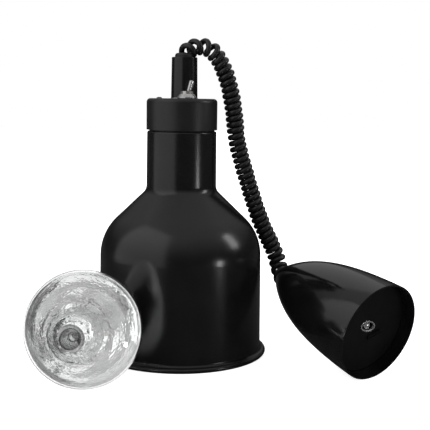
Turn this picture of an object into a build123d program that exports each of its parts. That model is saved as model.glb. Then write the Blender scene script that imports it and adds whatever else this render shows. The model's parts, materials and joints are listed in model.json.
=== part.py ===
"""Pull-down food-warming lamp: spun shade, cap, toggle switch, curly cord, ceiling canopy and bulb.

The lamp stands on its rim on the floor, Z = 0, with its axis on Z. The ceiling canopy lies on the edge
of its mouth at the far end of the cord, and the bulb, taken out of its holder, lies in front.
"""
import math
import os

from build123d import *

os.makedirs("parts", exist_ok=True)

# ---- Driving dimensions, in millimetres and degrees ---------------------------------------------
# Shade: a spun shell with a cylindrical body, a bell shoulder, a neck and a rolled rim
SHADE_WALL = 1.5
RIM_R = 104.0
RIM_BEAD_R = 2.75
BODY_FOOT_R = 97.4
BODY_TOP_R = 96.0
NECK_FOOT_R = 41.6
NECK_TOP_R = 41.1
NECK_TOP_Z = 266.0
NECK_LIP_R = 37.5
SHOULDER_FOOT_Z = 144.2
SHOULDER_TOP_Z = 196.2
SHADE_FILLETS = [2.5, 12.0, 62.0, 3.4]

# Cap, its gasket and the plate that clamps the neck of the shade under it
CAP_R = 41.8
CAP_FOOT_Z = 267.4
CAP_TOP_Z = 304.0
CAP_WALL = 3.0
CAP_CORNER = 4.6
SPIGOT_R = 37.2
SPIGOT_BORE_R = 34.7
PLATE_R = 38.6
PLATE_T = 2.0
PLATE_TOP_Z = 264.4
PLATE_BORE_R = 6.0
CAP_SCREW_REACH = 27.0
CAP_SCREW_ANGLES = (180.0, 60.0)
CAP_SCREW_R = 2.0
CAP_SCREW_HEAD_R = 3.4
CAP_SCREW_HEAD_T = 1.6
CAP_SCREW_DOME = 1.3
HOLE_PLAY = 0.2

# Post that carries the cord, a little off the axis of the lamp
POST_X = 2.5
POST_FOOT_R = 15.6
POST_TOP_R = 15.0
POST_TOP_Z = 352.0
POST_BORE_R = 12.6
POST_FLOOR_T = 4.0
POST_EDGE = 0.6
STEM_R = 9.0
STEM_BORE_R = 5.5
STEM_FOOT_Z = 293.0
WASHER_R = 16.0
WASHER_T = 0.8
POST_NUT_R = 15.0
POST_NUT_T = 5.0
GLAND_R = 11.3
GLAND_TOP_Z = 357.0
GLAND_FOOT_Z = 338.0
GLAND_CORNER = 3.5
TAIL_R = 3.4
TAIL_FOOT_Z = 288.0

# Toggle switch in front of the post
SWITCH_X = 5.5
SWITCH_Y = -27.0
BUSH_R = 6.1
BUSH_BORE_R = 5.1
BUSH_TOP_Z = 312.7
BUSH_FLOOR_PLAY = 0.4
SWITCH_BODY = (24.0, 13.0, 14.0)
MOULDED_CORNER = 1.0
DRESS_NUT_FOOT_R = 11.0
DRESS_NUT_TOP_R = 8.2
DRESS_NUT_T = 5.2
DRESS_NUT_RIM_T = 1.6
DRESS_NUT_EDGE = 0.5
RING_NUT_R = 7.2
RING_NUT_T = 3.0
RING_NUT_NOTCH = (1.2, 1.4)
RING_NUT_NOTCHES = 4
RING_NUT_TURN = 45
LEVER_LEAN = 16.0
LEVER_PIVOT_Z = 304.8
LEVER_LENGTH = 20.5
LEVER_BALL_R = 3.2
LEVER_NECK_R = 2.2
LEVER_TIP_R = 2.9
LEVER_TIP_CORNER = 1.0

# Lampholder, E27
HOLDER_R = 21.0
HOLDER_HEAD_R = 18.0
HOLDER_STEP_Z = 238.0
HOLDER_FOOT_Z = 204.0
HOLDER_TOP_Z = 252.4
HOLDER_EDGE = 1.5
SOCKET_BORE_R = 13.35
SOCKET_WALL = 0.5
SOCKET_FOOT_Z = 206.0
SOCKET_TOP_Z = 232.5
CONTACT_RECESS_R = 10.0
CONTACT_RECESS_TOP_Z = 236.0
CONTACT_SIZE = (18.0, 6.0, 0.6)
CONTACT_Z = 233.0
HOLDER_SCREW_REACH = 12.0
HOLDER_SCREW_R = 1.9
HOLDER_SCREW_FOOT_Z = 244.0
HOLDER_SCREW_HEAD_R = 3.4
HOLDER_SCREW_HEAD_T = 2.0
SPACER_R = 4.0

# Terminal block on the clamp plate, and the leads inside the cap
BLOCK_SIZE = (27.0, 14.0, 14.0)
BLOCK_X = -7.0
BLOCK_Y = 19.0
TERMINAL_PITCH = 9.0
TERMINAL_RISE = 5.6
TERMINAL_BORE_R = 1.6
TERMINAL_SCREW_R = 2.2
TERMINAL_SCREW_T = 4.0
LEAD_R = 1.2
LEAD_FILL = 0.3
LEAD_INSERT = 2.0
LEAD_RUN = 5.0
LEAD_DROP = 7.0
CORE_SPREAD = 1.6
SWITCH_LEAD_OFFSET = 6.0
HOLDER_LEAD_X = 3.0

# Cord: the outer shape of the curly cord, along points chosen from the post to the canopy
CORD_R = 10.6
CORD_FILL = 0.45
CORD_ROUTE = [
    (1.5, 0, 355.5),
    (11, 0, 363.1),
    (22.7, 0, 365.3),
    (34.5, 0, 361.2),
    (43, 0.3, 350.3),
    (50.5, 0.8, 335.5),
    (57.5, 2, 313.5),
    (62.8, 4.5, 283),
    (65, 7, 256),
    (75, 10, 222),
    (87, 13, 184),
    (98, 16.5, 154),
    (110.5, 19.5, 129),
    (118.6, 20.2, 111),
    (121.2, 15, 99),
    (122.3, 7.2, 93.6),
]

# Canopy: a deep bell lying on the edge of its mouth; depths are measured from the mouth
CANOPY_HEADING = -54.7
CANOPY_DIP = 13.0
CANOPY_X = 215.8
CANOPY_Y = -126.7
CANOPY_WALL = 1.8
CANOPY_MOUTH_R = 56.0
CANOPY_END_R = 11.9
CANOPY_LENGTH = 162.0
CANOPY_BELL = [(54.4, 32.0), (48.0, 81.0), (33.6, 126.5)]
BELL_TANGENTS = [(-0.02, 1), (-0.8, 1)]
CANOPY_HOLE_R = 9.0
BUSH_FLANGE_T = 4.6
BUSH_DEPTH = 8.0
CANOPY_BUSH_BORE_R = 3.6
CANOPY_BUSH_EDGE = 1.5
BACK_PLATE_DEPTH = 15.5
BACK_PLATE_T = 1.6
BACK_PLATE_R = 53.0
EYELET_SIZE = (10.6, 5.6)
EYELET_PLACE = (2.4, 1.2)
EYELET_TURN = 12.0
EYELET_WALL = 0.8
EYELET_FLANGE = 0.9
EYELET_FLANGE_T = 1.1
EYELET_EDGE = 0.4
BALL_R = 5.4
BALL_DEPTH = 21.5
ROD_R = 1.6
ROD_LENGTH = 16.0
STRAP_DEPTH = 27.0
STRAP_SIZE = (100.0, 16.0, 2.0)
STRAP_NUT_R = 4.0
STRAP_NUT_T = 3.0
CLAMP_SIZE = (19.5, 6.0, 1.6)
CLAMP_PLACE = (-10.1, -10.2)
CLAMP_TURN = -15.0
CLAMP_RIB_T = 1.0
CLAMP_RIB_GAP = 3.4
CLAMP_RIB_COUNT = 2
CLAMP_RIB_SETBACK = 2.0

# Bulb: a reflector lamp with an E27 cap, lying on its widest ring; heights along its own axis
BULB_R = 62.5
BULB_X = -100.3
BULB_Y = -150.0
BULB_HEADING = -75.5
BULB_TILT = 20.0
FACE_TOP = 27.0
FACE_EDGE = (52.5, 15.4)
BOWL = [(57.0, -30.0), (41.0, -62.0)]
BOWL_FOOT = (20.0, -97.0)
BOWL_TANGENTS = [(0, -1), (-0.2, -1)]
NECK_FOOT = (17.0, -127.0)
SLANT = 1.4
GLASS_WALL = 1.0
REFLECTOR_INSET = 1.5
REFLECTOR_WALL = 0.6
BULB_CAP_R = 13.1
BULB_CAP_WALL = 0.6
BULB_CAP_TOP = -129.0
BULB_CAP_FOOT = -151.0
INSULATOR_T = 5.0
INSULATOR_FOOT_R = 6.0
TIP_R = 4.5
TIP_T = 2.0
TIP_EDGE = 1.2
COLLAR_R = 18.4
COLLAR_T = 4.0
COLLAR_PLAY = 0.45
STEM_FOOT = -118.0
STEM_FOOT_R = 13.0
STEM_WAIST_R = 4.5
STEM_TOP = -80.0
STEM_FLARE = 14.0
STEM_FILLETS = [0.8, 8.0, 1.5]
FILAMENT_GAP = 50.0
FILAMENT_R = 13.0
FILAMENT_HEIGHT = -52.0
FILAMENT_WIRE_R = 0.6
SUPPORT_COUNT = 4
SUPPORT_FOOT_R = 2.6


# ---- Shared helpers -----------------------------------------------------------------------------
def direction(angle, rise):
    """Unit vector at an angle from +X about Z, raised above the floor."""
    flat = math.cos(math.radians(rise))
    x = flat * math.cos(math.radians(angle))
    y = flat * math.sin(math.radians(angle))
    return Vector(x, y, math.sin(math.radians(rise)))


def tilted_frame(origin, axis):
    """Plane at origin whose z runs along axis and whose x is level."""
    return Plane(origin=origin, x_dir=Vector(-axis.Y, axis.X, 0), z_dir=axis)


def side(frame):
    """Plane that holds the z axis of a frame, for a profile of radius against height."""
    return Plane(origin=frame.origin, x_dir=frame.x_dir, z_dir=-frame.y_dir)


def spin(frame):
    """Axis of revolution of a frame."""
    return Axis(frame.origin, frame.z_dir)


def around(reach, angle):
    """Point at a distance from the axis, at an angle from +X."""
    return (reach * math.cos(math.radians(angle)), reach * math.sin(math.radians(angle)))


def arcs_for(route, fill):
    """Radius of the arc at each corner of a route, from its shorter run and half its turn."""
    radii = []
    for before, corner, after in zip(route, route[1:], route[2:]):
        run_in = Vector(*corner) - Vector(*before)
        run_out = Vector(*after) - Vector(*corner)
        half_turn = math.radians(run_in.get_angle(run_out)) / 2
        radii.append(fill * min(run_in.length, run_out.length) / math.tan(half_turn))
    return radii


def save(node, label):
    """Name a finished sub-part and write its STEP file."""
    node.part.label = label
    export_step(node.part, f"parts/{label}.step")


POST = Plane(origin=(POST_X, 0, 0))
SWITCH = Plane(origin=(SWITCH_X, SWITCH_Y, 0))
LAMP_SIDE = side(Plane.XY)

# ---- Shade --------------------------------------------------------------------------------------
RIM_TOP_Z = 2 * RIM_BEAD_R

with BuildPart() as shade:
    with BuildSketch(LAMP_SIDE):
        with BuildLine():
            FilletPolyline(
                (NECK_LIP_R, NECK_TOP_Z),
                (NECK_TOP_R, NECK_TOP_Z),
                (NECK_FOOT_R, SHOULDER_TOP_Z),
                (BODY_TOP_R, SHOULDER_FOOT_Z),
                (BODY_FOOT_R, RIM_TOP_Z),
                (RIM_R - RIM_BEAD_R, RIM_TOP_Z),
                radius=SHADE_FILLETS,
            )
            offset(amount=SHADE_WALL, side=Side.RIGHT)
        make_face()
        with Locations((RIM_R - RIM_BEAD_R, RIM_BEAD_R)):
            Circle(RIM_BEAD_R)
    revolve(axis=Axis.Z)
save(shade, "shade")

# ---- Cap, gasket and clamp plate ----------------------------------------------------------------
CAP_ROOF_Z = CAP_TOP_Z - CAP_WALL
CAP_FLOOR_Z = CAP_FOOT_Z + CAP_WALL
cap_screw_places = [around(CAP_SCREW_REACH, angle) for angle in CAP_SCREW_ANGLES]

with BuildPart() as cap:
    with BuildSketch(Plane.XY.offset(CAP_FOOT_Z)):
        Circle(CAP_R)
    extrude(amount=CAP_TOP_Z - CAP_FOOT_Z)
    fillet(cap.edges().group_by(Axis.Z)[-1], CAP_CORNER)
    with BuildSketch(Plane.XY.offset(PLATE_TOP_Z)):
        Circle(SPIGOT_R)
    extrude(amount=CAP_FOOT_Z - PLATE_TOP_Z)
    with BuildSketch(Plane.XY.offset(CAP_FLOOR_Z)):
        Circle(CAP_R - CAP_WALL)
    extrude(amount=CAP_ROOF_Z - CAP_FLOOR_Z, mode=Mode.SUBTRACT)
    with BuildSketch(Plane.XY.offset(PLATE_TOP_Z)):
        Circle(SPIGOT_BORE_R)
    extrude(amount=CAP_FLOOR_Z - PLATE_TOP_Z, mode=Mode.SUBTRACT)
    with BuildSketch(Plane.XY.offset(CAP_ROOF_Z)):
        with Locations((POST_X, 0)):
            Circle(STEM_R + HOLE_PLAY)
        with Locations((SWITCH_X, SWITCH_Y)):
            Circle(BUSH_R + HOLE_PLAY)
        with Locations(*cap_screw_places):
            Circle(CAP_SCREW_R + HOLE_PLAY)
    extrude(amount=CAP_WALL, mode=Mode.SUBTRACT)
save(cap, "cap")

with BuildPart() as cap_gasket:
    with BuildSketch(Plane.XY.offset(NECK_TOP_Z)):
        Circle(NECK_TOP_R - SHADE_FILLETS[0])
        Circle(SPIGOT_R, mode=Mode.SUBTRACT)
    extrude(amount=CAP_FOOT_Z - NECK_TOP_Z)
save(cap_gasket, "cap_gasket")

with BuildPart() as clamp_plate:
    with BuildSketch(Plane.XY.offset(PLATE_TOP_Z - PLATE_T)):
        Circle(PLATE_R)
        Circle(PLATE_BORE_R, mode=Mode.SUBTRACT)
        with Locations(*cap_screw_places):
            Circle(CAP_SCREW_R, mode=Mode.SUBTRACT)
        with GridLocations(2 * HOLDER_SCREW_REACH, 0, 2, 1):
            Circle(HOLDER_SCREW_R, mode=Mode.SUBTRACT)
    extrude(amount=PLATE_T)
save(clamp_plate, "clamp_plate")

with BuildPart() as cap_screws:
    with BuildSketch(Plane.XY.offset(PLATE_TOP_Z - PLATE_T)):
        with Locations(*cap_screw_places):
            Circle(CAP_SCREW_R)
    extrude(amount=CAP_TOP_Z - PLATE_TOP_Z + PLATE_T)
    with BuildSketch(Plane.XY.offset(CAP_TOP_Z)):
        with Locations(*cap_screw_places):
            Circle(CAP_SCREW_HEAD_R)
    extrude(amount=CAP_SCREW_HEAD_T)
    fillet(cap_screws.edges().group_by(Axis.Z)[-1], CAP_SCREW_DOME)
save(cap_screws, "cap_screws")

# ---- Post, its washer and nut, and the gland at its top -----------------------------------------
POST_FOOT_Z = CAP_TOP_Z + WASHER_T

with BuildPart() as post_washer:
    with BuildSketch(POST.offset(CAP_TOP_Z)):
        Circle(WASHER_R)
        Circle(STEM_R + HOLE_PLAY, mode=Mode.SUBTRACT)
    extrude(amount=WASHER_T)
save(post_washer, "post_washer")

with BuildPart() as post:
    with BuildSketch(side(POST)):
        with BuildLine():
            Polyline(
                (STEM_BORE_R, STEM_FOOT_Z),
                (STEM_R, STEM_FOOT_Z),
                (STEM_R, POST_FOOT_Z),
                (POST_FOOT_R, POST_FOOT_Z),
                (POST_TOP_R, POST_TOP_Z),
                (POST_BORE_R, POST_TOP_Z),
                (POST_BORE_R, POST_FOOT_Z + POST_FLOOR_T),
                (STEM_BORE_R, POST_FOOT_Z + POST_FLOOR_T),
                close=True,
            )
        make_face()
    revolve(axis=spin(POST))
    fillet(post.edges().group_by(Axis.Z)[-1], POST_EDGE)
save(post, "post")

with BuildPart() as post_nut:
    with BuildSketch(POST.offset(CAP_ROOF_Z - POST_NUT_T)):
        RegularPolygon(POST_NUT_R, 6)
        Circle(STEM_R, mode=Mode.SUBTRACT)
    extrude(amount=POST_NUT_T)
save(post_nut, "post_nut")

with BuildPart() as cord_gland:
    with BuildSketch(POST.offset(GLAND_FOOT_Z)):
        Circle(POST_BORE_R - HOLE_PLAY)
    extrude(amount=POST_TOP_Z - GLAND_FOOT_Z)
    with BuildSketch(POST.offset(POST_TOP_Z)):
        Circle(GLAND_R)
    extrude(amount=GLAND_TOP_Z - POST_TOP_Z)
    fillet(cord_gland.edges().group_by(Axis.Z)[-1], GLAND_CORNER)
save(cord_gland, "cord_gland")

with BuildPart() as cord_tail:
    with BuildSketch(POST.offset(TAIL_FOOT_Z)):
        Circle(TAIL_R)
    extrude(amount=GLAND_FOOT_Z - TAIL_FOOT_Z)
save(cord_tail, "cord_tail")

# ---- Toggle switch ------------------------------------------------------------------------------
RING_NUT_Z = CAP_TOP_Z + DRESS_NUT_T
BUSH_FLOOR_Z = LEVER_PIVOT_Z - LEVER_BALL_R - BUSH_FLOOR_PLAY
SWITCH_LENGTH, SWITCH_WIDTH, SWITCH_DEPTH = SWITCH_BODY

with BuildPart() as switch_body:
    with BuildSketch(SWITCH.offset(CAP_ROOF_Z - SWITCH_DEPTH)):
        RectangleRounded(SWITCH_LENGTH, SWITCH_WIDTH, MOULDED_CORNER)
    extrude(amount=SWITCH_DEPTH)
    with BuildSketch(SWITCH.offset(CAP_ROOF_Z)):
        Circle(BUSH_R)
    extrude(amount=BUSH_TOP_Z - CAP_ROOF_Z)
    with BuildSketch(SWITCH.offset(BUSH_FLOOR_Z)):
        Circle(BUSH_BORE_R)
    extrude(amount=BUSH_TOP_Z - BUSH_FLOOR_Z, mode=Mode.SUBTRACT)
save(switch_body, "switch_body")

with BuildPart() as switch_dress_nut:
    with BuildSketch(side(SWITCH)):
        with BuildLine():
            FilletPolyline(
                (BUSH_R, CAP_TOP_Z),
                (DRESS_NUT_FOOT_R, CAP_TOP_Z),
                (DRESS_NUT_FOOT_R, CAP_TOP_Z + DRESS_NUT_RIM_T),
                (DRESS_NUT_TOP_R, RING_NUT_Z),
                (BUSH_R, RING_NUT_Z),
                radius=DRESS_NUT_EDGE,
                close=True,
            )
        make_face()
    revolve(axis=spin(SWITCH))
save(switch_dress_nut, "switch_dress_nut")

with BuildPart() as switch_ring_nut:
    with BuildSketch(SWITCH.offset(RING_NUT_Z)):
        Circle(RING_NUT_R)
        Circle(BUSH_R, mode=Mode.SUBTRACT)
        with PolarLocations(RING_NUT_R, RING_NUT_NOTCHES, start_angle=RING_NUT_TURN):
            Rectangle(*RING_NUT_NOTCH, mode=Mode.SUBTRACT)
    extrude(amount=RING_NUT_T)
save(switch_ring_nut, "switch_ring_nut")

LEVER = Plane(
    origin=(SWITCH_X, SWITCH_Y, LEVER_PIVOT_Z),
    x_dir=direction(0, -LEVER_LEAN),
    z_dir=direction(0, 90 - LEVER_LEAN),
)

with BuildPart() as switch_lever:
    with BuildSketch(side(LEVER)):
        with BuildLine():
            Polyline(
                (0, 0),
                (LEVER_NECK_R, 0),
                (LEVER_TIP_R, LEVER_LENGTH - LEVER_TIP_R),
                (LEVER_TIP_R, LEVER_LENGTH - LEVER_TIP_CORNER),
                (LEVER_TIP_R - LEVER_TIP_CORNER, LEVER_LENGTH),
                (0, LEVER_LENGTH),
                close=True,
            )
        make_face()
    revolve(axis=spin(LEVER))
    with Locations(LEVER):
        Sphere(LEVER_BALL_R)
save(switch_lever, "switch_lever")

# ---- Lampholder ---------------------------------------------------------------------------------
SHELL_R = SOCKET_BORE_R + SOCKET_WALL

with BuildPart() as lampholder:
    with BuildSketch(Plane.XY.offset(HOLDER_FOOT_Z)):
        Circle(HOLDER_R)
    extrude(amount=HOLDER_STEP_Z - HOLDER_FOOT_Z)
    fillet(lampholder.edges().group_by(Axis.Z)[0], HOLDER_EDGE)
    with BuildSketch(Plane.XY.offset(HOLDER_STEP_Z)):
        Circle(HOLDER_HEAD_R)
    extrude(amount=HOLDER_TOP_Z - HOLDER_STEP_Z)
    with BuildSketch(Plane.XY.offset(HOLDER_FOOT_Z)):
        Circle(SHELL_R)
    extrude(amount=SOCKET_TOP_Z - HOLDER_FOOT_Z, mode=Mode.SUBTRACT)
    with BuildSketch(Plane.XY.offset(SOCKET_TOP_Z)):
        Circle(CONTACT_RECESS_R)
    extrude(amount=CONTACT_RECESS_TOP_Z - SOCKET_TOP_Z, mode=Mode.SUBTRACT)
    with BuildSketch(Plane.XY.offset(HOLDER_SCREW_FOOT_Z)):
        with GridLocations(2 * HOLDER_SCREW_REACH, 0, 2, 1):
            Circle(HOLDER_SCREW_R)
    extrude(amount=HOLDER_TOP_Z - HOLDER_SCREW_FOOT_Z, mode=Mode.SUBTRACT)
save(lampholder, "lampholder")

with BuildPart() as socket_shell:
    with BuildSketch(Plane.XY.offset(SOCKET_FOOT_Z)):
        Circle(SHELL_R)
        Circle(SOCKET_BORE_R, mode=Mode.SUBTRACT)
    extrude(amount=SOCKET_TOP_Z - SOCKET_FOOT_Z)
save(socket_shell, "socket_shell")

CONTACT_LENGTH, CONTACT_WIDTH, CONTACT_T = CONTACT_SIZE

with BuildPart() as socket_contact:
    with BuildSketch(Plane.XY.offset(CONTACT_RECESS_TOP_Z - CONTACT_T)):
        Rectangle(CONTACT_LENGTH, CONTACT_WIDTH)
    extrude(amount=CONTACT_T)
    with BuildSketch(Plane.XY.offset(CONTACT_Z)):
        Circle(CONTACT_WIDTH / 2)
    extrude(amount=CONTACT_RECESS_TOP_Z - CONTACT_Z)
save(socket_contact, "socket_contact")

with BuildPart() as holder_spacers:
    with BuildSketch(Plane.XY.offset(HOLDER_TOP_Z)):
        with GridLocations(2 * HOLDER_SCREW_REACH, 0, 2, 1):
            RegularPolygon(SPACER_R, 6)
            Circle(HOLDER_SCREW_R, mode=Mode.SUBTRACT)
    extrude(amount=PLATE_TOP_Z - PLATE_T - HOLDER_TOP_Z)
save(holder_spacers, "holder_spacers")

with BuildPart() as holder_screws:
    with BuildSketch(Plane.XY.offset(HOLDER_SCREW_FOOT_Z)):
        with GridLocations(2 * HOLDER_SCREW_REACH, 0, 2, 1):
            Circle(HOLDER_SCREW_R)
    extrude(amount=PLATE_TOP_Z - HOLDER_SCREW_FOOT_Z)
    with BuildSketch(Plane.XY.offset(PLATE_TOP_Z)):
        with GridLocations(2 * HOLDER_SCREW_REACH, 0, 2, 1):
            Circle(HOLDER_SCREW_HEAD_R)
    extrude(amount=HOLDER_SCREW_HEAD_T)
save(holder_screws, "holder_screws")

# ---- Terminal block and leads -------------------------------------------------------------------
BLOCK_LENGTH, BLOCK_WIDTH, BLOCK_HEIGHT = BLOCK_SIZE
BLOCK = Plane(origin=(BLOCK_X, BLOCK_Y, PLATE_TOP_Z))
TERMINAL_Z = PLATE_TOP_Z + TERMINAL_RISE

with BuildPart() as terminal_block:
    with BuildSketch(BLOCK):
        RectangleRounded(BLOCK_LENGTH, BLOCK_WIDTH, MOULDED_CORNER)
    extrude(amount=BLOCK_HEIGHT)
    with BuildSketch(Plane.XZ.offset(-BLOCK_Y + BLOCK_WIDTH / 2)):
        with Locations((BLOCK_X, TERMINAL_Z)):
            with GridLocations(TERMINAL_PITCH, 0, 3, 1):
                Circle(TERMINAL_BORE_R)
    extrude(amount=-BLOCK_WIDTH, mode=Mode.SUBTRACT)
    with BuildSketch(BLOCK.offset(TERMINAL_Z - PLATE_TOP_Z)):
        with GridLocations(TERMINAL_PITCH, 0, 3, 1):
            Circle(TERMINAL_SCREW_R)
    extrude(amount=PLATE_TOP_Z + BLOCK_HEIGHT - TERMINAL_Z, mode=Mode.SUBTRACT)
save(terminal_block, "terminal_block")

with BuildPart() as terminal_screws:
    with BuildSketch(BLOCK.offset(TERMINAL_Z - PLATE_TOP_Z + TERMINAL_BORE_R)):
        with GridLocations(TERMINAL_PITCH, 0, 3, 1):
            Circle(TERMINAL_SCREW_R)
    extrude(amount=TERMINAL_SCREW_T)
save(terminal_screws, "terminal_screws")

BLOCK_FRONT = BLOCK_Y - BLOCK_WIDTH / 2
LEAD_IN = BLOCK_FRONT + LEAD_INSERT
LEAD_OUT = BLOCK_FRONT - LEAD_RUN
LIVE_X = POST_X - CORE_SPREAD
NEUTRAL_X = POST_X + CORE_SPREAD
SWITCH_LEAD_X = SWITCH_X - SWITCH_LEAD_OFFSET
SWITCH_LEAD_Z = CAP_ROOF_Z - SWITCH_DEPTH
leads = {
    "core_live": [
        (LIVE_X, 0, TAIL_FOOT_Z),
        (LIVE_X, 0, TAIL_FOOT_Z - LEAD_DROP),
        (BLOCK_X, LEAD_OUT, TERMINAL_Z),
        (BLOCK_X, LEAD_IN, TERMINAL_Z),
    ],
    "core_neutral": [
        (NEUTRAL_X, 1, TAIL_FOOT_Z),
        (NEUTRAL_X, 1, TAIL_FOOT_Z - LEAD_DROP),
        (BLOCK_X + TERMINAL_PITCH, LEAD_OUT, TERMINAL_Z),
        (BLOCK_X + TERMINAL_PITCH, LEAD_IN, TERMINAL_Z),
    ],
    "switch_lead": [
        (SWITCH_LEAD_X, SWITCH_Y, SWITCH_LEAD_Z),
        (SWITCH_LEAD_X, SWITCH_Y, SWITCH_LEAD_Z - LEAD_DROP),
        (HOLDER_LEAD_X, -4, PLATE_TOP_Z + 6),
        (HOLDER_LEAD_X, 0, PLATE_TOP_Z - 3),
        (HOLDER_LEAD_X, 0, HOLDER_TOP_Z),
    ],
    "holder_lead": [
        (BLOCK_X - TERMINAL_PITCH, LEAD_IN, TERMINAL_Z),
        (BLOCK_X - TERMINAL_PITCH, LEAD_OUT, TERMINAL_Z),
        (-HOLDER_LEAD_X, 0, TERMINAL_Z + 2),
        (-HOLDER_LEAD_X, 0, HOLDER_TOP_Z),
    ],
}
for lead_name, lead_route in leads.items():
    with BuildPart() as lead:
        with BuildLine() as lead_line:
            FilletPolyline(*lead_route, radius=arcs_for(lead_route, LEAD_FILL))
        with BuildSketch(Plane(origin=lead_line.line @ 0, z_dir=lead_line.line % 0)):
            Circle(LEAD_R)
        sweep(path=lead_line.line)
    save(lead, lead_name)

# ---- Cord ---------------------------------------------------------------------------------------
cord_arcs = arcs_for(CORD_ROUTE, CORD_FILL)
print("cord arcs", [round(radius, 1) for radius in cord_arcs])

with BuildPart() as curly_cord:
    with BuildLine() as cord_line:
        FilletPolyline(*CORD_ROUTE, radius=cord_arcs)
    with BuildSketch(Plane(origin=cord_line.line @ 0, z_dir=cord_line.line % 0)):
        Circle(CORD_R)
    sweep(path=cord_line.line)
save(curly_cord, "curly_cord")
cord_length = cord_line.wire().length
print("cord length", round(cord_length, 1))
print("volume over section times length", curly_cord.part.volume / (math.pi * CORD_R**2 * cord_length))

# ---- Canopy -------------------------------------------------------------------------------------
canopy_axis = -direction(CANOPY_HEADING, -CANOPY_DIP)
canopy_rise = CANOPY_MOUTH_R * math.cos(math.radians(CANOPY_DIP))
CANOPY = tilted_frame((CANOPY_X, CANOPY_Y, canopy_rise), canopy_axis)


def bell_curve(inset, end):
    """Radius against depth from the mouth of the bell to its small end, moved inward by inset."""
    return Spline(
        (CANOPY_MOUTH_R - inset, 0),
        *[(radius - inset, depth) for radius, depth in CANOPY_BELL],
        end,
        tangents=BELL_TANGENTS,
    )


with BuildPart() as canopy_shell:
    with BuildSketch(side(CANOPY)):
        with BuildLine():
            outside = bell_curve(0, (CANOPY_END_R, CANOPY_LENGTH))
            inside = bell_curve(CANOPY_WALL, (CANOPY_HOLE_R, CANOPY_LENGTH - CANOPY_WALL))
            Line(outside @ 0, inside @ 0)
            Polyline(inside @ 1, (CANOPY_HOLE_R, CANOPY_LENGTH), outside @ 1)
        make_face()
    revolve(axis=spin(CANOPY))
save(canopy_shell, "canopy_shell")

with BuildPart() as canopy_bush:
    with BuildSketch(CANOPY.offset(CANOPY_LENGTH)):
        Circle(CANOPY_END_R)
    extrude(amount=BUSH_FLANGE_T)
    fillet(canopy_bush.edges().sort_by(spin(CANOPY))[-1], CANOPY_BUSH_EDGE)
    with BuildSketch(CANOPY.offset(CANOPY_LENGTH)):
        Circle(CANOPY_HOLE_R)
    extrude(amount=-BUSH_DEPTH)
    with BuildSketch(CANOPY.offset(CANOPY_LENGTH)):
        Circle(CANOPY_BUSH_BORE_R)
    extrude(amount=-BUSH_DEPTH, mode=Mode.SUBTRACT)
save(canopy_bush, "canopy_bush")

EYELET_LENGTH, EYELET_HEIGHT = EYELET_SIZE
EYELET = Location((*EYELET_PLACE, 0), (0, 0, EYELET_TURN))

with BuildPart() as canopy_back_plate:
    with BuildSketch(CANOPY.offset(BACK_PLATE_DEPTH)):
        Circle(BACK_PLATE_R)
        with Locations(EYELET):
            Ellipse(EYELET_LENGTH, EYELET_HEIGHT, mode=Mode.SUBTRACT)
    extrude(amount=BACK_PLATE_T)
save(canopy_back_plate, "canopy_back_plate")

with BuildPart() as canopy_eyelet:
    for grown, depth in ((0, BACK_PLATE_T), (EYELET_FLANGE, -EYELET_FLANGE_T)):
        with BuildSketch(CANOPY.offset(BACK_PLATE_DEPTH)):
            with Locations(EYELET):
                Ellipse(EYELET_LENGTH + grown, EYELET_HEIGHT + grown)
                Ellipse(EYELET_LENGTH - EYELET_WALL, EYELET_HEIGHT - EYELET_WALL, mode=Mode.SUBTRACT)
        extrude(amount=depth)
    fillet(canopy_eyelet.edges().sort_by(spin(CANOPY))[:2], EYELET_EDGE)
save(canopy_eyelet, "canopy_eyelet")

with BuildPart() as suspension_ball:
    with Locations(CANOPY.offset(BALL_DEPTH)):
        Sphere(BALL_R)
    with BuildSketch(CANOPY.offset(BALL_DEPTH)):
        Circle(ROD_R)
    extrude(amount=ROD_LENGTH)
save(suspension_ball, "suspension_ball")

STRAP_LENGTH, STRAP_WIDTH, STRAP_T = STRAP_SIZE

with BuildPart() as canopy_strap:
    with BuildSketch(CANOPY.offset(STRAP_DEPTH)):
        SlotOverall(STRAP_LENGTH, STRAP_WIDTH)
        Circle(ROD_R, mode=Mode.SUBTRACT)
    extrude(amount=STRAP_T)
save(canopy_strap, "canopy_strap")

with BuildPart() as suspension_nut:
    with BuildSketch(CANOPY.offset(STRAP_DEPTH + STRAP_T)):
        RegularPolygon(STRAP_NUT_R, 6)
        Circle(ROD_R, mode=Mode.SUBTRACT)
    extrude(amount=STRAP_NUT_T)
save(suspension_nut, "suspension_nut")

CLAMP_LENGTH, CLAMP_WIDTH, CLAMP_T = CLAMP_SIZE

with BuildPart() as cord_clamp:
    with BuildSketch(CANOPY.offset(BACK_PLATE_DEPTH)):
        with Locations(Location((*CLAMP_PLACE, 0), (0, 0, CLAMP_TURN))):
            RectangleRounded(CLAMP_LENGTH, CLAMP_WIDTH, MOULDED_CORNER)
    extrude(amount=-CLAMP_T)
    with BuildSketch(CANOPY.offset(BACK_PLATE_DEPTH - CLAMP_T)):
        with Locations(Location((*CLAMP_PLACE, 0), (0, 0, CLAMP_TURN))):
            with GridLocations(0, CLAMP_RIB_GAP, 1, CLAMP_RIB_COUNT):
                Rectangle(CLAMP_LENGTH - CLAMP_RIB_SETBACK, CLAMP_RIB_T)
    extrude(amount=-CLAMP_RIB_T)
save(cord_clamp, "cord_clamp")

# ---- Bulb ---------------------------------------------------------------------------------------
bulb_axis = direction(BULB_HEADING, BULB_TILT)
cap_edge_rise = BULB_CAP_R * math.cos(math.radians(BULB_TILT))
bulb_rise = cap_edge_rise - BULB_CAP_FOOT * math.sin(math.radians(BULB_TILT))
BULB = tilted_frame((BULB_X, BULB_Y, bulb_rise), bulb_axis)
BULB_SIDE = side(BULB)


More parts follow.
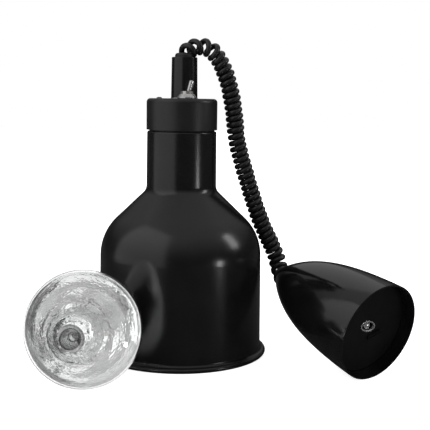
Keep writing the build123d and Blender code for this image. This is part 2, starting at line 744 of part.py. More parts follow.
def bowl_curve(inset):
    """Bowl of the glass from its widest ring to its neck, moved inward by inset."""
    return Spline(
        (BULB_R - inset, 0),
        *[(radius - SLANT * inset, height) for radius, height in BOWL],
        (BOWL_FOOT[0] - inset, BOWL_FOOT[1]),
        tangents=BOWL_TANGENTS,
    )


def glass_curve(inset):
    """Glass from the middle of its face to the foot of its neck, moved inward by inset."""
    edge_x, edge_y = FACE_EDGE
    face = TangentArc((0, FACE_TOP - inset), (edge_x - inset / 2, edge_y - inset), tangent=(1, 0))
    TangentArc(face @ 1, (BULB_R - inset, 0), tangent=face % 1)
    bowl = bowl_curve(inset)
    neck = Line(bowl @ 1, (NECK_FOOT[0] - inset, NECK_FOOT[1]))
    return face, neck


with BuildPart() as bulb_glass:
    with BuildSketch(BULB_SIDE):
        with BuildLine():
            outer_face, outer_neck = glass_curve(0)
            inner_face, inner_neck = glass_curve(GLASS_WALL)
            Line(outer_face @ 0, inner_face @ 0)
            Line(outer_neck @ 1, inner_neck @ 1)
        make_face()
    revolve(axis=spin(BULB))
save(bulb_glass, "bulb_glass")

with BuildPart() as bulb_reflector:
    with BuildSketch(BULB_SIDE):
        with BuildLine():
            back = bowl_curve(REFLECTOR_INSET)
            front = bowl_curve(REFLECTOR_INSET + REFLECTOR_WALL)
            Line(back @ 0, front @ 0)
            Line(back @ 1, front @ 1)
        make_face()
    revolve(axis=spin(BULB))
save(bulb_reflector, "bulb_reflector")

with BuildPart() as bulb_stem:
    with BuildSketch(BULB_SIDE):
        with BuildLine():
            FilletPolyline(
                (0, STEM_FOOT),
                (STEM_FOOT_R, STEM_FOOT),
                (STEM_WAIST_R, STEM_FOOT + STEM_FLARE),
                (STEM_WAIST_R, STEM_TOP),
                (0, STEM_TOP),
                radius=STEM_FILLETS,
            )
            Line((0, STEM_TOP), (0, STEM_FOOT))
        make_face()
    revolve(axis=spin(BULB))
save(bulb_stem, "bulb_stem")

FILAMENT = BULB.offset(FILAMENT_HEIGHT)
filament_arc = 360 - FILAMENT_GAP

with BuildPart() as bulb_filament:
    with BuildSketch(side(FILAMENT)):
        with Locations((FILAMENT_R, 0)):
            Circle(FILAMENT_WIRE_R)
    revolve(axis=spin(FILAMENT), revolution_arc=filament_arc)
    for step in range(SUPPORT_COUNT):
        turn = filament_arc * step / (SUPPORT_COUNT - 1)
        foot = BULB.from_local_coords((*around(SUPPORT_FOOT_R, turn), STEM_TOP + FILAMENT_WIRE_R))
        head = FILAMENT.from_local_coords((*around(FILAMENT_R, turn), 0))
        with BuildLine() as support:
            Line(foot, head)
        with BuildSketch(Plane(origin=foot, z_dir=support.line % 0)):
            Circle(FILAMENT_WIRE_R)
        sweep(path=support.line)
save(bulb_filament, "bulb_filament")

with BuildPart() as bulb_cap:
    with BuildSketch(BULB.offset(BULB_CAP_FOOT)):
        Circle(BULB_CAP_R)
    extrude(amount=BULB_CAP_TOP - BULB_CAP_FOOT)
    with BuildSketch(BULB.offset(BULB_CAP_FOOT)):
        Circle(BULB_CAP_R - BULB_CAP_WALL)
    extrude(amount=BULB_CAP_TOP - BULB_CAP_FOOT, mode=Mode.SUBTRACT)
save(bulb_cap, "bulb_cap")

NECK_FOOT_R, NECK_FOOT_Z = NECK_FOOT

with BuildPart() as bulb_collar:
    with BuildSketch(BULB_SIDE):
        with BuildLine():
            Polyline(
                (BULB_CAP_R - BULB_CAP_WALL, BULB_CAP_TOP),
                (BULB_CAP_R, BULB_CAP_TOP),
                (COLLAR_R, NECK_FOOT_Z - BULB_CAP_WALL),
                (COLLAR_R, NECK_FOOT_Z + COLLAR_T),
                (NECK_FOOT_R + COLLAR_PLAY, NECK_FOOT_Z + COLLAR_T),
                (NECK_FOOT_R + COLLAR_PLAY, NECK_FOOT_Z),
                (BULB_CAP_R - BULB_CAP_WALL, NECK_FOOT_Z),
                close=True,
            )
        make_face()
    revolve(axis=spin(BULB))
save(bulb_collar, "bulb_collar")

with BuildPart() as bulb_insulator:
    with BuildSketch(BULB_SIDE):
        with BuildLine():
            Polyline(
                (0, BULB_CAP_FOOT),
                (BULB_CAP_R, BULB_CAP_FOOT),
                (INSULATOR_FOOT_R, BULB_CAP_FOOT - INSULATOR_T),
                (0, BULB_CAP_FOOT - INSULATOR_T),
                close=True,
            )
        make_face()
    revolve(axis=spin(BULB))
save(bulb_insulator, "bulb_insulator")

with BuildPart() as bulb_contact:
    with BuildSketch(BULB.offset(BULB_CAP_FOOT - INSULATOR_T)):
        Circle(TIP_R)
    extrude(amount=-TIP_T)
    fillet(bulb_contact.edges().sort_by(spin(BULB))[0], TIP_EDGE)
save(bulb_contact, "bulb_contact")
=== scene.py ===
import json
import math

import bmesh
import bpy
from mathutils import Matrix, Vector, geometry, noise


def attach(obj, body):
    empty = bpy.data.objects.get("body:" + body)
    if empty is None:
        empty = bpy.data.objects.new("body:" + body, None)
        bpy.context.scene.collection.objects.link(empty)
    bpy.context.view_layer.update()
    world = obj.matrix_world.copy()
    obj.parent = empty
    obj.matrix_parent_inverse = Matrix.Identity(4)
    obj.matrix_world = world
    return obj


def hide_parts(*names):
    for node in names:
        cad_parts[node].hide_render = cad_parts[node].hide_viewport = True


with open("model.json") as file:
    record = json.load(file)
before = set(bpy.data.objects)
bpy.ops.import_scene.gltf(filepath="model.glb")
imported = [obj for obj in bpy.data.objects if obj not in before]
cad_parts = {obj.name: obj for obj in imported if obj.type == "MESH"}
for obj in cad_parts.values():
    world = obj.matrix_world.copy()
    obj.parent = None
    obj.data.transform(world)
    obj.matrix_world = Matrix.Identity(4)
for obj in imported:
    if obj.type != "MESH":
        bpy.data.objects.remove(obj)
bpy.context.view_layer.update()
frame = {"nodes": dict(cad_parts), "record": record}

# Lengths are metres and angles are radians, unless a name or a comment says otherwise.
NODES = frame["nodes"]
TURN = 2 * math.pi


# ---- Placing -------------------------------------------------------------------------------------
def placing(place, x_axis, y_axis, z_axis):
    """Matrix that stands at a place and has the given directions as its own axes."""
    return Matrix.Translation(place) @ Matrix((x_axis, y_axis, z_axis)).transposed().to_4x4()


def tilted(place, heading, rise):
    """Placing matrix whose z runs along a heading and a rise, in degrees, and whose x is level."""
    heading, rise = math.radians(heading), math.radians(rise)
    level = math.cos(rise)
    axis = Vector((math.cos(heading) * level, math.sin(heading) * level, math.sin(rise)))
    across = Vector((-axis.y, axis.x, 0)).normalized()
    return placing(place, across, axis.cross(across), axis)


# ---- Camera, at the photograph's viewing angle ---------------------------------------------------
CAMERA_PLACE = (0.0, -1.0608, 0.3016)
CAMERA_DIP, CAMERA_YAW, CAMERA_ROLL = (math.radians(degrees) for degrees in (7.3, 2.2, 0.8))
LENS_MM, SENSOR_MM = 74.5, 36.0
CLIP_START, CLIP_END = 0.05, 60.0


def add_camera():
    level = math.cos(CAMERA_DIP)
    ahead = Vector((math.sin(CAMERA_YAW) * level, math.cos(CAMERA_YAW) * level, -math.sin(CAMERA_DIP)))
    right = Vector((math.cos(CAMERA_YAW), -math.sin(CAMERA_YAW), 0))
    up = right.cross(ahead)
    side = right * math.cos(CAMERA_ROLL) + up * math.sin(CAMERA_ROLL)
    top = up * math.cos(CAMERA_ROLL) - right * math.sin(CAMERA_ROLL)
    camera = bpy.data.objects.new("camera", bpy.data.cameras.new("camera"))
    camera.data.lens = LENS_MM
    camera.data.sensor_width = SENSOR_MM
    camera.data.clip_start = CLIP_START
    camera.data.clip_end = CLIP_END
    camera.matrix_world = placing(CAMERA_PLACE, side, top, -ahead)
    bpy.context.scene.collection.objects.link(camera)
    bpy.context.scene.camera = camera


add_camera()


# ---- Node trees ----------------------------------------------------------------------------------
class Tree:
    """A short way to lay nodes and links in one node tree."""

    def __init__(self, tree):
        self.tree = tree
        tree.nodes.clear()

    def node(self, kind, inputs=None, **settings):
        """A new node, its inputs set to values or linked to sockets."""
        made = self.tree.nodes.new(kind)
        for key, value in settings.items():
            setattr(made, key, value)
        for key, value in (inputs or {}).items():
            if isinstance(value, bpy.types.NodeSocket):
                self.tree.links.new(value, made.inputs[key])
            else:
                made.inputs[key].default_value = value
        return made

    def noise(self, where, scale, detail=2.0, rough=0.5, distortion=0.0):
        values = {"Vector": where, "Scale": scale, "Detail": detail, "Roughness": rough}
        return self.node("ShaderNodeTexNoise", {**values, "Distortion": distortion}).outputs["Fac"]

    def spread(self, value, low, high, start=0.3, end=0.7):
        """A value's run from start to end, which holds most of a noise, spread from low to high."""
        ends = {"From Min": start, "From Max": end, "To Min": low, "To Max": high}
        return self.node("ShaderNodeMapRange", {"Value": value, **ends}).outputs["Result"]

    def maths(self, operation, first, second=0.0, third=0.0):
        return self.node("ShaderNodeMath", {0: first, 1: second, 2: third}, operation=operation).outputs[0]

    def tone(self, factor, dark, light):
        mix = self.node("ShaderNodeMix", {0: factor, 6: (*dark, 1), 7: (*light, 1)}, data_type="RGBA")
        return mix.outputs[2]

    def stretched(self, where, scale):
        return self.node("ShaderNodeMapping", {"Vector": where, "Scale": scale}).outputs["Vector"]

    def height(self, where):
        return self.node("ShaderNodeSeparateXYZ", {0: where}).outputs["Z"]

    def bump(self, height, depth, **before):
        """Normal of a surface that a height moves by a depth, over the bump before it."""
        values = {"Height": height, "Strength": 1.0, "Distance": depth, **before}
        return self.node("ShaderNodeBump", values).outputs["Normal"]

    def mirrored(self, rays):
        """1 for a ray that a glossy surface throws back, and 0 for any other."""
        outside = self.maths("SUBTRACT", 1.0, rays["Is Transmission Ray"])
        return self.maths("MULTIPLY", rays["Is Glossy Ray"], outside)

    def end(self, shader, kind="ShaderNodeOutputMaterial"):
        self.node(kind, {0: shader.outputs[0]})


def blank(name):
    """A new material, and its empty node tree."""
    made = bpy.data.materials.new(name)
    made.use_nodes = True
    return made, Tree(made.node_tree)


def grey(level):
    return (level, level, level)


# ---- World, floor and lights ---------------------------------------------------------------------
WHITE = (1, 1, 1, 1)
SKY_FROM, SKY_TO = 0.2, 0.8         # upward part of a ray's direction, over which the sky brightens
SKY_LOW, SKY_HIGH = 0.03, 0.5       # the sky's strength to mirrored rays, below and above that
GLASS_DIMMING = 0.3                 # strength that the sky loses through glass
FLOOR_REACH = 8.0
FLOOR_TONE, FLOOR_GLOW = 0.86, 0.8
FLOOR_MIRRORED_TONE = 0.05


def add_world():
    """White to the camera and to diffuse rays, and a studio that brightens upward to mirrored ones."""
    world = bpy.data.worlds.new("studio")
    world.use_nodes = True
    t = Tree(world.node_tree)
    rays = t.node("ShaderNodeLightPath").outputs
    upward = t.height(t.node("ShaderNodeTexCoord").outputs["Generated"])
    studio = t.spread(upward, SKY_LOW, SKY_HIGH, SKY_FROM, SKY_TO)
    strength = t.maths("MULTIPLY_ADD", t.mirrored(rays), t.maths("SUBTRACT", studio, 1.0), 1.0)
    strength = t.maths("MULTIPLY_ADD", rays["Is Transmission Ray"], -GLASS_DIMMING, strength)
    t.end(t.node("ShaderNodeBackground", {"Color": WHITE, "Strength": strength}), "ShaderNodeOutputWorld")
    bpy.context.scene.world = world
    bpy.context.scene.view_settings.view_transform = "Standard"


def add_floor():
    """Pale floor, which is dark to mirrored rays."""
    corners = [(x * FLOOR_REACH, y * FLOOR_REACH, 0) for x, y in ((-1, -1), (1, -1), (1, 1), (-1, 1))]
    mesh = bpy.data.meshes.new("floor")
    mesh.from_pydata(corners, [], [(0, 1, 2, 3)])
    floor = bpy.data.objects.new("floor", mesh)
    bpy.context.scene.collection.objects.link(floor)
    paint, t = blank("floor_pale")
    pale = t.node("ShaderNodeBsdfDiffuse", {"Color": (*grey(FLOOR_TONE), 1)})
    glow = t.node("ShaderNodeEmission", {"Color": WHITE, "Strength": FLOOR_GLOW})
    both = t.node("ShaderNodeAddShader", {0: pale.outputs[0], 1: glow.outputs[0]})
    dull = t.node("ShaderNodeBsdfDiffuse", {"Color": (*grey(FLOOR_MIRRORED_TONE), 1)})
    mirrored = t.mirrored(t.node("ShaderNodeLightPath").outputs)
    t.end(t.node("ShaderNodeMixShader", {0: mirrored, 1: both.outputs[0], 2: dull.outputs[0]}))
    mesh.materials.append(paint)


def add_softbox(name, place, target, size, radiance):
    """Rectangular lamp that faces a target, and that the camera doesn't see."""
    data = bpy.data.lights.new(name, "AREA")
    data.shape = "RECTANGLE"
    data.size, data.size_y = size
    data.energy = radiance * math.pi * data.size * data.size_y
    light = bpy.data.objects.new(name, data)
    light.location = place
    light.visible_camera = False
    light.rotation_euler = (Vector(target) - Vector(place)).to_track_quat("-Z", "Y").to_euler()
    bpy.context.scene.collection.objects.link(light)


add_world()
add_floor()
add_softbox("box_left", place=(-0.72, -0.4, 0.85), target=(0, 0, 0.85), size=(1.4, 1.7), radiance=0.7)
add_softbox("strip_low", place=(1.01, -0.735, 0.07), target=(0, 0, 0.2), size=(0.1, 0.1), radiance=30.0)
add_softbox("strip_right", place=(1.245, -0.09, 0.8), target=(0, 0, 0.2), size=(0.3, 0.6), radiance=5.0)
add_softbox("box_top", place=(0.05, 2.2, 1.2), target=(0.05, 2.19, 0.0), size=(1.3, 3.6), radiance=0.3)


# ---- Materials -----------------------------------------------------------------------------------
MOTTLE = dict(detail=4.0, rough=0.6)                        # broad patches of tone
GRAIN = dict(detail=3.0, rough=0.55)                        # fine grain, for the bump as well
SMEAR = dict(detail=3.0, rough=0.6, distortion=0.4)         # long streaks of wear
SMEAR_STRETCH, SMEAR_SCALE = (1.0, 1.0, 0.25), 3
SMEAR_SHARE, GRAIN_SHARE = 0.6, 0.4                         # of the roughness
RING_WANDER, RING_WANDER_SCALE = 0.0015, 30.0


def material(name, dark, light, rough, metallic=0.0, mottle=40.0, grain=900.0, depth=0.0, rings=None,
             **sockets):
    """Principled material whose tone and roughness drift by noise, with a fine bump of a depth, and
    over it rings of a pitch and a depth up the z axis, as spinning leaves them."""
    made, t = blank(name)
    where = t.node("ShaderNodeTexCoord").outputs["Object"]
    patches = t.noise(where, mottle, **MOTTLE)
    fine = t.noise(where, grain, **GRAIN)
    smear = t.noise(t.stretched(where, SMEAR_STRETCH), mottle * SMEAR_SCALE, **SMEAR)
    wear = t.maths("MULTIPLY_ADD", smear, SMEAR_SHARE, t.maths("MULTIPLY", fine, GRAIN_SHARE))
    values = {"Metallic": metallic}
    values["Base Color"] = t.tone(t.spread(patches, 0.0, 1.0), dark, light)
    values["Roughness"] = t.spread(wear, *rough)
    if depth:
        values["Normal"] = t.bump(fine, depth)
    if rings:
        pitch, ring_depth = rings
        wander = t.maths("MULTIPLY", t.noise(where, RING_WANDER_SCALE), RING_WANDER)
        turns = t.maths("MULTIPLY", t.maths("ADD", t.height(where), wander), TURN / pitch)
        values["Normal"] = t.bump(t.maths("SINE", turns), ring_depth, Normal=values["Normal"])
    for key, value in sockets.items():
        values[key.replace("_", " ")] = value
    t.end(t.node("ShaderNodeBsdfPrincipled", values))
    return made


def make_materials():
    """Every finish of the record, by its slot."""
    made = {}

    def keep(slot, dark, light, **settings):
        made[slot] = material(slot, dark, light, **settings)

    # Paints and coats
    keep("painted_black", grey(0.002), grey(0.0035), rough=(0.19, 0.26), grain=700.0, depth=0.00002,
         rings=(0.0022, 0.000004))
    keep("cap_black", grey(0.003), grey(0.005), rough=(0.34, 0.42), grain=2400.0, depth=0.00002)
    keep("post_black", grey(0.002), grey(0.0035), rough=(0.18, 0.26), grain=1500.0, depth=0.000015)
    keep("canopy_black", grey(0.002), grey(0.0035), rough=(0.09, 0.14), grain=260.0, depth=0.000012)
    keep("plate_black", grey(0.002), grey(0.0032), rough=(0.6, 0.7), grain=1800.0, depth=0.00003,
         Specular_IOR_Level=0.15)

    # Rubbers and mouldings
    keep("cord_black", grey(0.0025), grey(0.005), rough=(0.26, 0.4), grain=1600.0, depth=0.00003)
    keep("rubber_black", grey(0.003), grey(0.006), rough=(0.42, 0.6), grain=1500.0, depth=0.00003)
    keep("phenolic", (0.02, 0.012, 0.008), (0.035, 0.02, 0.012), rough=(0.3, 0.45))
    keep("terminal_white", (0.7, 0.7, 0.68), (0.8, 0.8, 0.78), rough=(0.35, 0.5))
    keep("lead_brown", (0.07, 0.03, 0.012), (0.1, 0.045, 0.02), rough=(0.35, 0.5))
    keep("lead_blue", (0.01, 0.05, 0.2), (0.02, 0.08, 0.28), rough=(0.35, 0.5))
    keep("lead_black", grey(0.01), grey(0.02), rough=(0.35, 0.5))

    # Metals
    keep("chrome", grey(0.5), grey(0.6), rough=(0.16, 0.28), metallic=0.9, grain=1200.0, depth=0.000004)
    keep("nickel", (0.44, 0.435, 0.43), (0.6, 0.59, 0.58), rough=(0.2, 0.32), metallic=0.9, depth=0.00001)
    keep("zinc_steel", (0.5, 0.5, 0.5), (0.62, 0.61, 0.59), rough=(0.3, 0.45), metallic=1.0, grain=500.0,
         depth=0.00001)
    keep("brass", (0.55, 0.4, 0.16), (0.72, 0.54, 0.25), rough=(0.25, 0.4), metallic=1.0)
    keep("cap_alu", (0.7, 0.7, 0.7), (0.82, 0.82, 0.81), rough=(0.22, 0.38), metallic=1.0, grain=800.0,
         depth=0.00001)
    keep("bulb_wire", (0.3, 0.29, 0.28), (0.42, 0.4, 0.38), rough=(0.3, 0.45), metallic=1.0)

    # Glass, its mirror coat, and porcelain
    keep("bulb_clear", (0.97, 0.98, 0.98), (1, 1, 1), rough=(0.0, 0.02), grain=90.0, depth=0.00003,
         Transmission_Weight=1.0, IOR=1.5)
    keep("bulb_mirror", grey(0.84), grey(0.95), rough=(0.03, 0.1), metallic=1.0, grain=420.0, depth=0.00004)
    keep("glass_black", grey(0.01), grey(0.02), rough=(0.08, 0.15))
    keep("porcelain", (0.72, 0.71, 0.67), (0.84, 0.83, 0.8), rough=(0.12, 0.25), grain=400.0, depth=0.00002)
    return made


MATERIALS = make_materials()
for part in frame["record"]["subparts"]:
    finishes = NODES[part["node"]].data.materials
    if not finishes:
        finishes.append(None)
    for index in range(len(finishes)):
        finishes[index] = MATERIALS[part["material_slot"]]


# ---- Piece helpers -------------------------------------------------------------------------------
WELD = 1e-6
PIECE_STEPS = 96                        # round a small turned piece


def piece(name, data, body, slot, *stands_for):
    """A new piece in its body, with its finish, standing for its CAD nodes."""
    made = bpy.data.objects.new(name, data)
    bpy.context.scene.collection.objects.link(made)
    data.materials.append(MATERIALS[slot])
    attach(made, body)
    if stands_for:
        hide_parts(*stands_for)
    return made


def on_circle(radius, angle, height):
    return Vector((radius * math.cos(angle), radius * math.sin(angle), height))


def turned(profile, steps, place, shaped=None):
    """Points and faces of a closed profile of (radius, height) turned about z of a placing matrix.
    A shaping function gives each point's own radius and height."""
    points, faces, count = [], [], len(profile)
    for turn in range(steps):
        angle = TURN * turn / steps
        for row, (radius, height) in enumerate(profile):
            if shaped:
                radius, height = shaped(radius, height, angle, row)
            points.append(place @ on_circle(radius, angle, height))
    for turn in range(steps):
        here, there = turn * count, (turn + 1) % steps * count
        for row in range(count):
            after = (row + 1) % count
            faces.append((here + row, there + row, there + after, here + after))
    return points, faces


def mesh_of(name, *shapes):
    """One smooth mesh of several (points, faces), its faces turned outward."""
    points, faces = [], []
    for some_points, some_faces in shapes:
        faces += [tuple(len(points) + corner for corner in face) for face in some_faces]
        points += some_points
    mesh = bpy.data.meshes.new(name)
    mesh.from_pydata(points, [], faces)
    tool = bmesh.new()
    tool.from_mesh(mesh)
    bmesh.ops.remove_doubles(tool, verts=tool.verts, dist=WELD)
    bmesh.ops.recalc_face_normals(tool, faces=tool.faces)
    for face in tool.faces:
        face.smooth = True
    tool.to_mesh(mesh)
    tool.free()
    return mesh


def spaced(low, high, count):
    return [low + (high - low) * step / (count - 1) for step in range(count)]


# ---- Curly cord ----------------------------------------------------------------------------------
# The coil's centre line, from the gland on the post to the bush of the canopy
ROUTE = [
    (0.0015, 0, 0.3555), (0.011, 0, 0.3631), (0.0227, 0, 0.3653), (0.0345, 0, 0.3612),
    (0.043, 0.0003, 0.3503), (0.0505, 0.0008, 0.3355), (0.0575, 0.002, 0.3135), (0.0628, 0.0045, 0.283),
    (0.065, 0.007, 0.256), (0.075, 0.010, 0.222), (0.087, 0.013, 0.184), (0.098, 0.0165, 0.154),
    (0.1105, 0.0195, 0.129), (0.1186, 0.0202, 0.111), (0.1212, 0.015, 0.099), (0.1223, 0.0072, 0.0936),
]
WIRE = 0.0067                       # thickness of the cord that is wound into the coil
COIL_R, COIL_PITCH = 0.0072, 0.0069
START_PHASE = math.radians(237)
START_RUN = END_RUN = 0.004         # runs over which the coil opens from its centre line and closes
LEAN, LEAN_RUN = 0.68, 0.06         # slope of the first loop, and the run over which it is lost
GROWTH = 0.07                       # share by which the last loop is wider
WOBBLES = ((0.02, 210, 0), (0.015, 471, 1))     # share of the radius, radians per metre, phase
STEPS_PER_TURN = 16
SPLINE_SHRINK = (2 + math.cos(TURN / STEPS_PER_TURN)) / 3    # a cubic spline runs inside its points
WALK_STEP = 0.0001
BEND_WINDOW = 12                    # walk steps either way over which a bend is measured
ROUTE_ORDER, ROUTE_RESOLUTION = 3, 24
COIL_ORDER, COIL_RESOLUTION, COIL_BEVEL = 4, 2, 4


def nurbs(name, points, order, resolution):
    data = bpy.data.curves.new(name, "CURVE")
    data.dimensions = "3D"
    data.resolution_u = resolution
    spline = data.splines.new("NURBS")
    spline.points.add(len(points) - 1)
    for point, spot in zip(spline.points, points):
        point.co = (*spot, 1)
    spline.order_u = order
    spline.use_endpoint_u = True
    return data


def centreline(points):
    """Points along the smooth line of the route."""
    data = nurbs("route", points, ROUTE_ORDER, ROUTE_RESOLUTION)
    route = bpy.data.objects.new("route", data)
    mesh = bpy.data.meshes.new_from_object(route)
    line = [vertex.co.copy() for vertex in mesh.vertices]
    bpy.data.objects.remove(route)
    bpy.data.meshes.remove(mesh)
    bpy.data.curves.remove(data)
    return line


def walk(line, step):
    """Points a step apart along a line."""
    out, left = [line[0]], step
    for a, b in zip(line, line[1:]):
        run = (b - a).length
        while run > left:
            a = a + (b - a) * (left / run)
            run = (b - a).length
            out.append(a)
            left = step
        left -= run
    return out


def tangents_of(line):
    last = len(line) - 1
    return [(line[min(i + 1, last)] - line[max(i - 1, 0)]).normalized() for i in range(last + 1)]


def bends_of(tangents, step):
    """Radians per metre that a line turns at each of its points."""
    last, bends = len(tangents) - 1, []
    for i in range(last + 1):
        a, b = max(i - BEND_WINDOW, 0), min(i + BEND_WINDOW, last)
        bends.append(tangents[a].angle(tangents[b]) / (step * (b - a)))
    return bends


def helix(line, step):
    """Points of a helix about a line of even points. It opens its pitch in the bends, so that its
    inner sides touch, its first loops lean over and its last ones are a little wider."""
    tangents = tangents_of(line)
    across = tangents[0].cross(Vector((0, 1, 0))).normalized()
    phase, points, total = START_PHASE, [], len(line) * step
    for i, (spot, tangent, bend) in enumerate(zip(line, tangents, bends_of(tangents, step))):
        across = (across - tangent * across.dot(tangent)).normalized()
        up = tangent.cross(across)
        far = i * step
        lean = LEAN * max(0.0, 1 - far / LEAN_RUN)
        pitch = COIL_PITCH / (1 - COIL_R * bend) * math.hypot(1, lean)
        ease = math.sin(TURN / 4 * min(1.0, far / START_RUN, (total - far) / END_RUN))
        wobble = sum(share * math.sin(far * rate + start) for share, rate, start in WOBBLES)
        radius = COIL_R / SPLINE_SHRINK * ease * (1 + wobble)
        offset = (across * math.cos(phase) + up * math.sin(phase)) * radius * (1 + GROWTH * far / total)
        points.append(spot + offset - tangent * lean * offset.y)
        phase += TURN * step / pitch * ease * ease
    return points


def add_cord():
    line = walk(centreline(ROUTE), WALK_STEP)
    wire = walk(helix(line, WALK_STEP), TURN * COIL_R / STEPS_PER_TURN)
    data = nurbs("cord_coil", wire, COIL_ORDER, COIL_RESOLUTION)
    data.bevel_depth = WIRE / 2
    data.bevel_resolution = COIL_BEVEL
    data.use_fill_caps = True
    cord = piece("cord_coil", data, "lamp", "cord_black", "curly_cord")


add_cord()


# ---- Bulb, in its own frame: z out of its face, whose rim is at height 0 -------------------------
BULB_TILT, BULB_HEADING = 20.0, -75.5       # degrees
BULB_X, BULB_Y = -0.1003, -0.150
CAP_R, CAP_TOP, CAP_FOOT = 0.0131, -0.129, -0.151
# The edge of the cap's foot rests on the floor
BULB_RISE = CAP_R * math.cos(math.radians(BULB_TILT)) - CAP_FOOT * math.sin(math.radians(BULB_TILT))
BULB = tilted((BULB_X, BULB_Y, BULB_RISE), BULB_HEADING, BULB_TILT)


# ---- Bulb: rippled reflector ---------------------------------------------------------------------
BOWL = [(0.0625, 0.0), (0.057, -0.030), (0.041, -0.062), (0.020, -0.097)]    # radius and height
BOWL_SLANT = 1.4                        # how much more an inset moves the slanting middle of the bowl
RIM_SLOPE, NECK_SLOPE = (0, -1), (-0.2, -1)
REFLECTOR_BACK, REFLECTOR_FRONT = 0.0016, 0.0021        # insets from the glass
BACK_POINTS, FRONT_POINTS, REFLECTOR_STEPS = 10, 40, 300
RIPPLE = 0.0004
RIPPLE_BASE, RIPPLE_SHARE, DIMPLE_SHARE = 0.6, 0.4, 0.34
RIPPLE_SCALE, DIMPLE_SCALE, DIMPLE_SHIFT = 90, 380, Vector((5, 3, 1))
RAGGED, RAGGED_FROM = 0.006, -0.090     # the coat's torn edge in the neck, and where it starts
RAGGED_SCALE, RAGGED_SLICE, RAGGED_BIAS = 6, 2, 0.4


def bowl(inset, count):
    """Radius and height down the bowl, moved inward, on a smooth curve through its four rings."""
    knots = [Vector((r - inset * (BOWL_SLANT if 0 < i < 3 else 1), h)) for i, (r, h) in enumerate(BOWL)]
    runs = [(b - a).length for a, b in zip(knots, knots[1:])]
    slopes = [Vector(RIM_SLOPE)]
    for i in (1, 2):
        before, after = (knots[i] - knots[i - 1]) / runs[i - 1], (knots[i + 1] - knots[i]) / runs[i]
        slopes.append((before * runs[i] + after * runs[i - 1]) / (runs[i] + runs[i - 1]))
    slopes.append(Vector(NECK_SLOPE).normalized())
    out = []
    for i, run in enumerate(runs):
        handles = knots[i] + slopes[i] * run / 3, knots[i + 1] - slopes[i + 1] * run / 3
        out += geometry.interpolate_bezier(knots[i], *handles, knots[i + 1], count)[:-1]
    return [(point.x, point.y) for point in out] + [tuple(knots[-1])]


def add_reflector():
    back = bowl(REFLECTOR_BACK, BACK_POINTS)
    front = bowl(REFLECTOR_FRONT, FRONT_POINTS)

    def rippled(radius, height, angle, row):
        """Shallow ripples and fine dimples on the front, and a torn edge in the neck."""
        if row < len(back):
            return radius, height
        spot = on_circle(radius, angle, height)
        coarse = noise.noise(spot * RIPPLE_SCALE)
        fine = noise.noise(spot * DIMPLE_SCALE + DIMPLE_SHIFT)
        deep = max(0.0, (RAGGED_FROM - height) / (RAGGED_FROM - BOWL[-1][1]))
        torn = RAGGED * deep * (noise.noise(on_circle(RAGGED_SCALE, angle, RAGGED_SLICE)) + RAGGED_BIAS)
        inward = RIPPLE * (RIPPLE_BASE + RIPPLE_SHARE * coarse + DIMPLE_SHARE * fine)
        return radius - inward, height + torn

    shell = turned(back + front[::-1], REFLECTOR_STEPS, BULB, rippled)
    piece("bulb_rippled_reflector", mesh_of("reflector", shell), "bulb", "bulb_mirror", "bulb_reflector")


add_reflector()


# ---- Bulb: threaded cap --------------------------------------------------------------------------
THREAD_PITCH, THREAD_DEPTH, THREAD_WALL = 0.00362, 0.0009, 0.0005
THREAD_FADE = 0.002                     # run over which the thread dies away at either end
THREAD_ROWS = 70


def threaded(radius, height, angle, row):
    """Rounded screw thread that dies away at both ends of the cap."""
    ends = min(1.0, (CAP_TOP - height) / THREAD_FADE, (height - CAP_FOOT) / THREAD_FADE)
    wave = 0.5 - 0.5 * math.cos(TURN * height / THREAD_PITCH - angle)
    return radius - THREAD_DEPTH * wave * ends, height


def add_screw_cap():
    rows = spaced(CAP_TOP, CAP_FOOT, THREAD_ROWS)
    walls = [(CAP_R, height) for height in rows] + [(CAP_R - THREAD_WALL, height) for height in rows[::-1]]
    shell = turned(walls, PIECE_STEPS, BULB, threaded)
    piece("bulb_threaded_cap", mesh_of("screw_cap", shell), "bulb", "cap_alu", "bulb_cap")


add_screw_cap()


# ---- Bulb: hollow flared stem --------------------------------------------------------------------
STEM_FOOT, STEM_TOP, HOLLOW_TOP = -0.1178, -0.0805, -0.092
STEM_FOOT_R, STEM_WAIST_R, STEM_WALL = 0.0127, 0.0042, 0.0009
FLARE_POWER = 3
OUTER_ROWS, INNER_ROWS = 22, 18


def flare(height):
    """Radius of the stem, which is slim at its top and flares to its foot."""
    down = (STEM_TOP - height) / (STEM_TOP - STEM_FOOT)
    return STEM_WAIST_R + (STEM_FOOT_R - STEM_WAIST_R) * down ** FLARE_POWER


def add_stem():
    outer = [(flare(height), height) for height in spaced(STEM_FOOT, STEM_TOP, OUTER_ROWS)]
    inner = [(flare(height) - STEM_WALL, height) for height in spaced(HOLLOW_TOP, STEM_FOOT, INNER_ROWS)]
    shell = turned(outer + [(0.0, STEM_TOP), (0.0, HOLLOW_TOP)] + inner, PIECE_STEPS, BULB)
    piece("bulb_flared_stem", mesh_of("stem", shell), "bulb", "bulb_clear", "bulb_stem")


add_stem()


# ---- Bulb: coiled filament on its supports -------------------------------------------------------
RING_R, RING_HEIGHT, RING_ARC = 0.013, -0.052, math.radians(310)
SPIRAL_R, SPIRAL_TURNS, SPIRAL_STEPS = 0.0006, 90, 10
FILAMENT_WIRE_R, SUPPORT_WIRE_R, WIRE_BEVEL = 0.00011, 0.0003, 2
SUPPORTS, SUPPORT_FOOT_R, SUPPORT_KNEE, SUPPORT_POINTS = 4, 0.0026, 0.012, 9


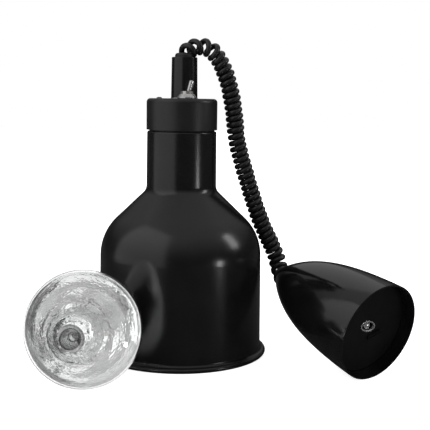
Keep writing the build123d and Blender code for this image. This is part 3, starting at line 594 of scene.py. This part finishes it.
def wires(name, lines, radius):
    """Curve of several thin wires, in the bulb's frame."""
    data = bpy.data.curves.new(name, "CURVE")
    data.dimensions = "3D"
    data.bevel_depth = radius
    data.bevel_resolution = WIRE_BEVEL
    data.use_fill_caps = True
    for line in lines:
        spline = data.splines.new("POLY")
        spline.points.add(len(line) - 1)
        for point, spot in zip(spline.points, line):
            point.co = (*(BULB @ spot), 1)
    return data


def add_filament():
    """A fine spiral bent into an open ring."""
    steps, spiral = SPIRAL_TURNS * SPIRAL_STEPS, []
    for step in range(steps + 1):
        wind = TURN * step / SPIRAL_STEPS
        reach = RING_R + SPIRAL_R * math.cos(wind)
        spiral.append(on_circle(reach, RING_ARC * step / steps, RING_HEIGHT + SPIRAL_R * math.sin(wind)))
    filament = wires("filament", [spiral], FILAMENT_WIRE_R)
    piece("bulb_filament_coil", filament, "bulb", "bulb_wire", "bulb_filament")


def add_supports():
    """Bent wires from the stem's top to the filament."""
    lines = []
    for angle in spaced(0.0, RING_ARC, SUPPORTS):
        foot = on_circle(SUPPORT_FOOT_R, angle, STEM_TOP)
        head = on_circle(RING_R, angle, RING_HEIGHT)
        knee = foot + Vector((0, 0, SUPPORT_KNEE))
        lines.append(geometry.interpolate_bezier(foot, knee, (head + knee) / 2, head, SUPPORT_POINTS))
    piece("bulb_supports", wires("supports", lines, SUPPORT_WIRE_R), "bulb", "bulb_wire")


add_filament()
add_supports()


# ---- Cap screws with cross recesses --------------------------------------------------------------
SCREW_REACH, SCREW_ANGLES = 0.027, (180, 60)            # degrees
SCREW_FOOT, SCREW_SEAT = 0.2624, 0.304
SHANK_R, HEAD_R, HEAD_T = 0.002, 0.0034, 0.0016
HEAD_UNDERSIDE = 0.98                                   # of the head's radius
DOME_START, DOME_ROWS = 0.25, 40
RECESS_HALF, RECESS_REACH, RECESS_DEPTH = 0.00045, 0.0019, 0.0009


def recessed(radius, height, angle, row):
    """A cross sunk into the top of the head."""
    across, along = sorted((abs(radius * math.cos(angle)), abs(radius * math.sin(angle))))
    top = height > SCREW_SEAT + HEAD_T / 2
    return radius, height - (RECESS_DEPTH if top and across < RECESS_HALF and along < RECESS_REACH else 0)


def add_cap_screws():
    dome = []
    for angle in spaced(DOME_START, TURN / 4, DOME_ROWS):
        dome.append((HEAD_R * math.cos(angle), SCREW_SEAT + HEAD_T * math.sin(angle)))
    shank = [(0.0, SCREW_FOOT), (SHANK_R, SCREW_FOOT), (SHANK_R, SCREW_SEAT)]
    profile = [*shank, (HEAD_R * HEAD_UNDERSIDE, SCREW_SEAT), *dome]
    screws = []
    for degrees in SCREW_ANGLES:
        place = Matrix.Translation(on_circle(SCREW_REACH, math.radians(degrees), 0))
        screws.append(turned(profile, PIECE_STEPS, place, recessed))
    piece("cap_cross_screws", mesh_of("screws", *screws), "lamp", "cap_black", "cap_screws")


add_cap_screws()
